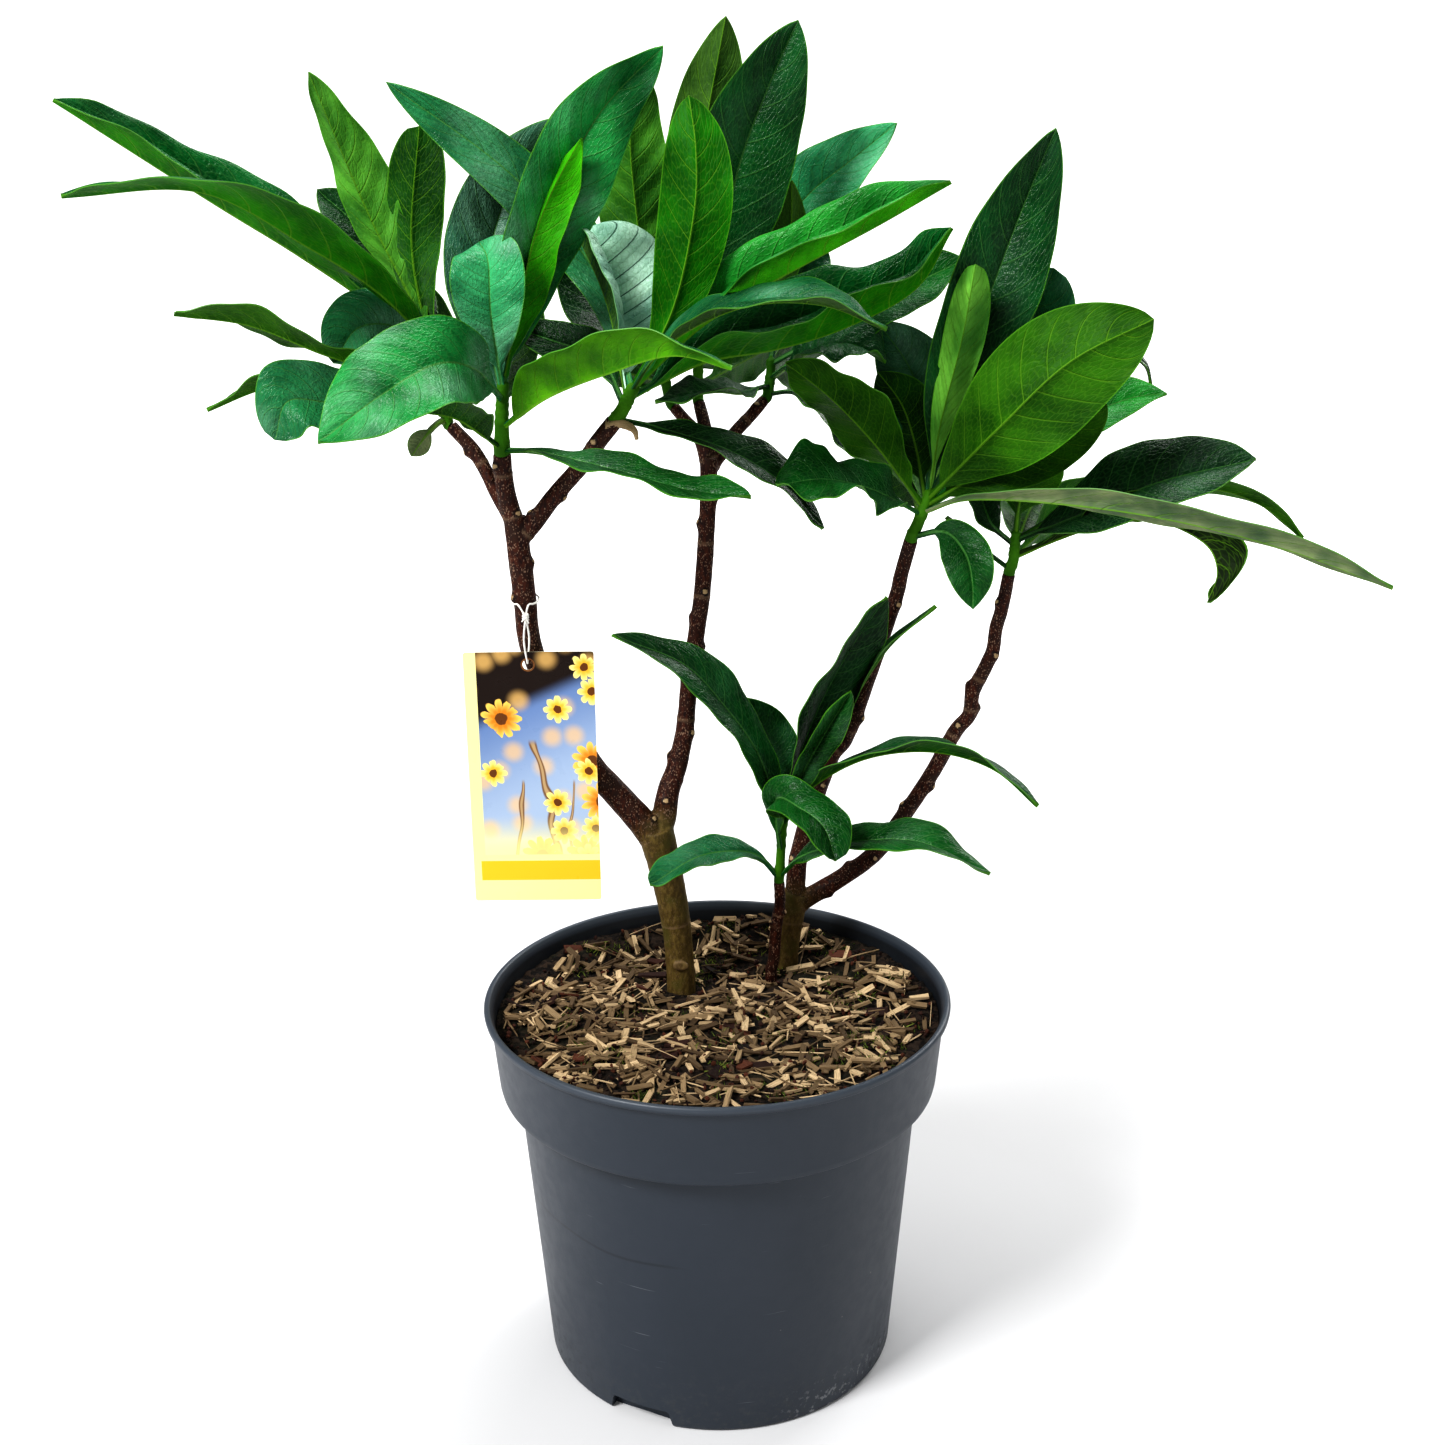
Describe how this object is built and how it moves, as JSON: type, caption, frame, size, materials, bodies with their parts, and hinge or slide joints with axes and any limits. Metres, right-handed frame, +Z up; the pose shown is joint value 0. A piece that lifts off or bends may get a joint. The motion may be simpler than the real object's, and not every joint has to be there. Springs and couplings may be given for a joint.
{
  "type": "potted paperbush",
  "caption": "Young paperbush in a round nursery pot: bare woody stems with leafy tops, soil covered in wood chips, and a hanging label on a thread.",
  "frame": {"origin": "middle of the pot's underside, on the surface that the pot stands on", "axes": "+Z up, +X to the viewer's right, and the viewer stands at -Y"},
  "size_m": [0.5836, 0.3001, 0.646],
  "materials": {
    "pot_plastic": "satin moulded",
    "soil_and_chips": "straw-coloured chips on dark soil",
    "bark": "dark bark with pale pores",
    "leaf": "soft satin leaf",
    "label_card": "printed satin",
    "thread_white": "twisted thread"
  },
  "bodies": {
    "root": {"pot": "pot_plastic", "soil": "soil_and_chips", "trunk_left": "bark", "trunk_right": "bark", "stem_sprout": "bark", "shoot_left_front": "leaf", "shoot_left_outer": "leaf", "shoot_left_inner": "leaf", "shoot_rear_left": "leaf", "shoot_rear_middle": "leaf", "shoot_rear_right": "leaf", "shoot_right_upper": "leaf", "shoot_right_outer": "leaf", "shoot_sprout": "leaf", "label": "label_card", "label_thread": "thread_white"}
  },
  "joints": []
}
